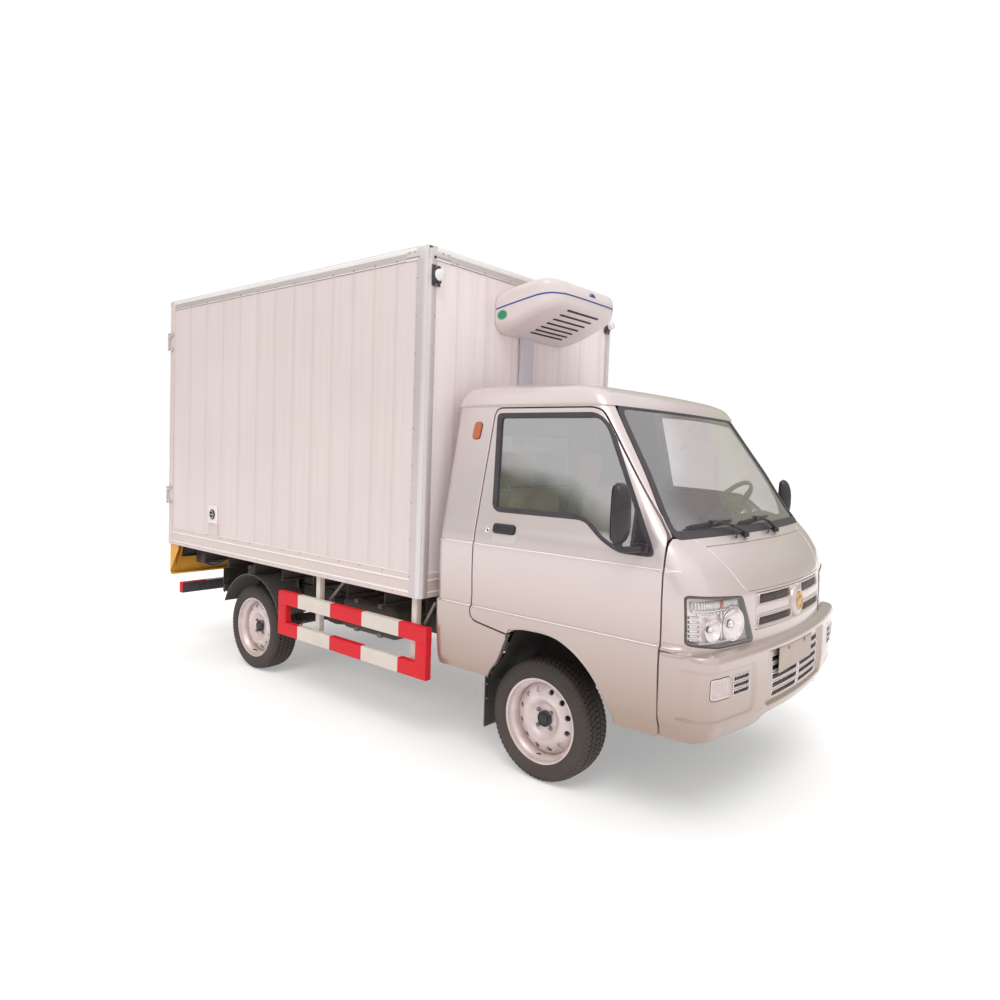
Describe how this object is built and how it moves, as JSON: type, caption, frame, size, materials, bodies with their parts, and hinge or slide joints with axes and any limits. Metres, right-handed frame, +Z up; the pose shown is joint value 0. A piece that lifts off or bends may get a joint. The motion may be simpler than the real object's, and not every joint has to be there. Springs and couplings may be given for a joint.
{
  "type": "refrigerated truck",
  "caption": "Small refrigerated truck: two-seat cab-over, insulated cargo box with rear doors, roof-front cooling unit, guard rails; wheels, steering, doors and front lid move.",
  "frame": {"origin": "on the ground under the middle of the truck's box", "axes": "+X forward, +Y to the truck's left, +Z up"},
  "size_m": [4.2998, 1.876, 2.475],
  "materials": {
    "cab_paint": "metallic, champagne silver",
    "glass": "clear, lightly tinted",
    "lamp_clear": "clear",
    "grille_black": "matt mesh",
    "cab_floor_paint": "matt",
    "trim_grey": "grained",
    "trim_black": "grained",
    "seat_fabric": "woven",
    "chassis_black": "satin",
    "exhaust_steel": "dull",
    "box_white": "gloss gel coat",
    "rail_aluminium": "anodised, satin",
    "unit_white": "moulded",
    "lamp_red": "clear red",
    "guard_paint": "red and white bands",
    "apron_yellow": "gloss",
    "rubber_black": "matt",
    "rim_silver": "silver, satin",
    "tyre": "matt"
  },
  "bodies": {
    "chassis": {"cab_frame": "cab_paint", "cab_roof": "cab_paint", "cab_rear_panel": "cab_paint", "rear_window": "glass", "nose_panel": "cab_paint", "windshield": "glass", "head_lamps": "lamp_clear", "grille": "grille_black", "front_bumper": "cab_paint", "cab_floor": "cab_floor_paint", "dashboard": "trim_grey", "seats": "seat_fabric", "wipers": "trim_black", "ladder_frame": "chassis_black", "subframe": "chassis_black", "engine_block": "chassis_black", "propeller_shaft": "chassis_black", "rear_axle": "chassis_black", "front_suspension": "chassis_black", "fuel_tank": "chassis_black", "exhaust": "exhaust_steel", "cargo_floor": "box_white", "cargo_wall_left": "box_white", "cargo_wall_right": "box_white", "cargo_front_wall": "box_white", "cargo_roof": "box_white", "cargo_rear_frame": "rail_aluminium", "cargo_trims": "rail_aluminium", "cooling_unit": "unit_white", "marker_lamps": "lamp_clear", "side_guards": "guard_paint", "rear_apron": "apron_yellow", "underride_guard": "guard_paint", "tail_lamps": "lamp_red", "rear_mudguards": "rubber_black", "mudflaps": "rubber_black"},
    "knuckle_right": {"knuckle_right": "chassis_black"},
    "wheel_front_right": {"rim_front_right": "rim_silver", "tyre_front_right": "tyre"},
    "wheel_rear_right": {"rim_rear_right": "rim_silver", "tyre_rear_right": "tyre"},
    "cab_door_right": {"cab_door_right": "cab_paint", "door_glass_right": "glass", "mirror_right": "trim_black"},
    "cargo_door_right": {"cargo_door_right": "box_white"},
    "knuckle_left": {"knuckle_left": "chassis_black"},
    "wheel_front_left": {"rim_front_left": "rim_silver", "tyre_front_left": "tyre"},
    "wheel_rear_left": {"rim_rear_left": "rim_silver", "tyre_rear_left": "tyre"},
    "cab_door_left": {"cab_door_left": "cab_paint", "door_glass_left": "glass", "mirror_left": "trim_black"},
    "cargo_door_left": {"cargo_door_left": "box_white"},
    "front_lid": {"front_lid": "cab_paint"},
    "steering_wheel": {"steering_wheel": "trim_black"}
  },
  "joints": [
    {"name": "steer_left", "type": "hinge", "parent": "chassis", "child": "knuckle_left", "pos_m": [1.235, 0.6, 0.275], "axis": [0, 0, 1], "range_deg": [-30, 30]},
    {"name": "steer_right", "type": "hinge", "parent": "chassis", "child": "knuckle_right", "pos_m": [1.235, -0.6, 0.275], "axis": [0, 0, 1], "range_deg": [-30, 30]},
    {"name": "steering_wheel_turn", "type": "hinge", "parent": "chassis", "child": "steering_wheel", "pos_m": [1.565, 0.37, 1.212], "axis": [-0.7431, 0, 0.6691], "range_deg": [-480, 480]},
    {"name": "roll_front_left", "type": "hinge", "parent": "knuckle_left", "child": "wheel_front_left", "pos_m": [1.235, 0.645, 0.275], "axis": [0, 1, 0], "continuous": true},
    {"name": "roll_rear_left", "type": "hinge", "parent": "chassis", "child": "wheel_rear_left", "pos_m": [-1.135, 0.645, 0.275], "axis": [0, 1, 0], "continuous": true},
    {"name": "roll_front_right", "type": "hinge", "parent": "knuckle_right", "child": "wheel_front_right", "pos_m": [1.235, -0.645, 0.275], "axis": [0, 1, 0], "continuous": true},
    {"name": "roll_rear_right", "type": "hinge", "parent": "chassis", "child": "wheel_rear_right", "pos_m": [-1.135, -0.645, 0.275], "axis": [0, 1, 0], "continuous": true},
    {"name": "cab_door_hinge_right", "type": "hinge", "parent": "chassis", "child": "cab_door_right", "pos_m": [1.856, -0.779, 0.9], "axis": [0, 0, 1], "range_deg": [0, 65]},
    {"name": "cab_door_hinge_left", "type": "hinge", "parent": "chassis", "child": "cab_door_left", "pos_m": [1.856, 0.779, 0.9], "axis": [0, 0, -1], "range_deg": [0, 65]},
    {"name": "cargo_door_hinge_right", "type": "hinge", "parent": "chassis", "child": "cargo_door_right", "pos_m": [-2.128, -0.836, 1.6], "axis": [0, 0, 1], "range_deg": [0, 240]},
    {"name": "cargo_door_hinge_left", "type": "hinge", "parent": "chassis", "child": "cargo_door_left", "pos_m": [-2.128, 0.836, 1.6], "axis": [0, 0, -1], "range_deg": [0, 240]},
    {"name": "front_lid_hinge", "type": "hinge", "parent": "chassis", "child": "front_lid", "pos_m": [1.925, 0, 1.16], "axis": [0, -1, 0], "range_deg": [0, 70]}
  ],
  "couplings": [
    {"joint": "steer_right", "follows": "steer_left", "ratio": 1},
    {"joint": "steering_wheel_turn", "follows": "steer_left", "ratio": 16}
  ]
}
